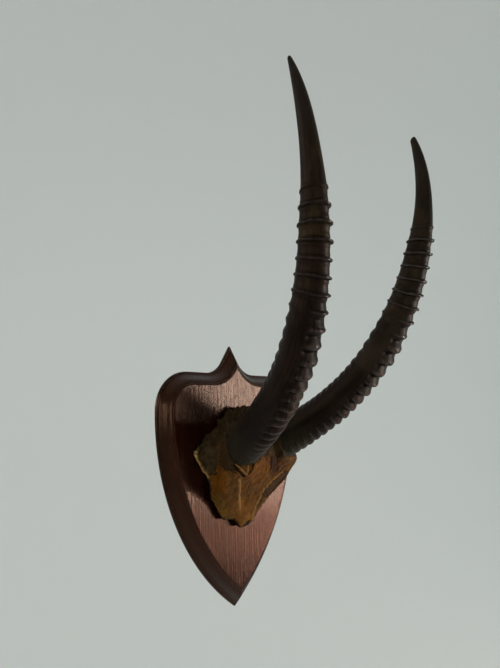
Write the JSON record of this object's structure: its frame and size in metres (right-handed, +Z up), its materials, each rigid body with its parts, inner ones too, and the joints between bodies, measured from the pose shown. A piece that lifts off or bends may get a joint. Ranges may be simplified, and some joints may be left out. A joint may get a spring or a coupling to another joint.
{
  "type": "antelope horns on a wooden shield",
  "caption": "Pair of ringed, backward-arched antelope horns on their cut skull cap, mounted on a pointed heater-shaped wooden shield with a moulded edge.",
  "frame": {"origin": "on the shield's flat back, halfway between the tip of its peak and its bottom tip, on its upright centre line", "axes": "+Y into the wall, square to the shield's back, so the horns reach towards -Y; +Z up; +X to the right of someone facing the shield"},
  "size_m": [0.3758, 0.3536, 0.7818],
  "materials": {
    "polished_wood": "polished dark red-brown, fine upright grain",
    "old_bone": "matte ochre old bone with dried skin",
    "dark_horn": "semi-gloss near-black brown keratin"
  },
  "bodies": {
    "root": {"shield": "polished_wood", "skull_cap": "old_bone", "horn_left": "dark_horn", "horn_right": "dark_horn"}
  },
  "joints": []
}
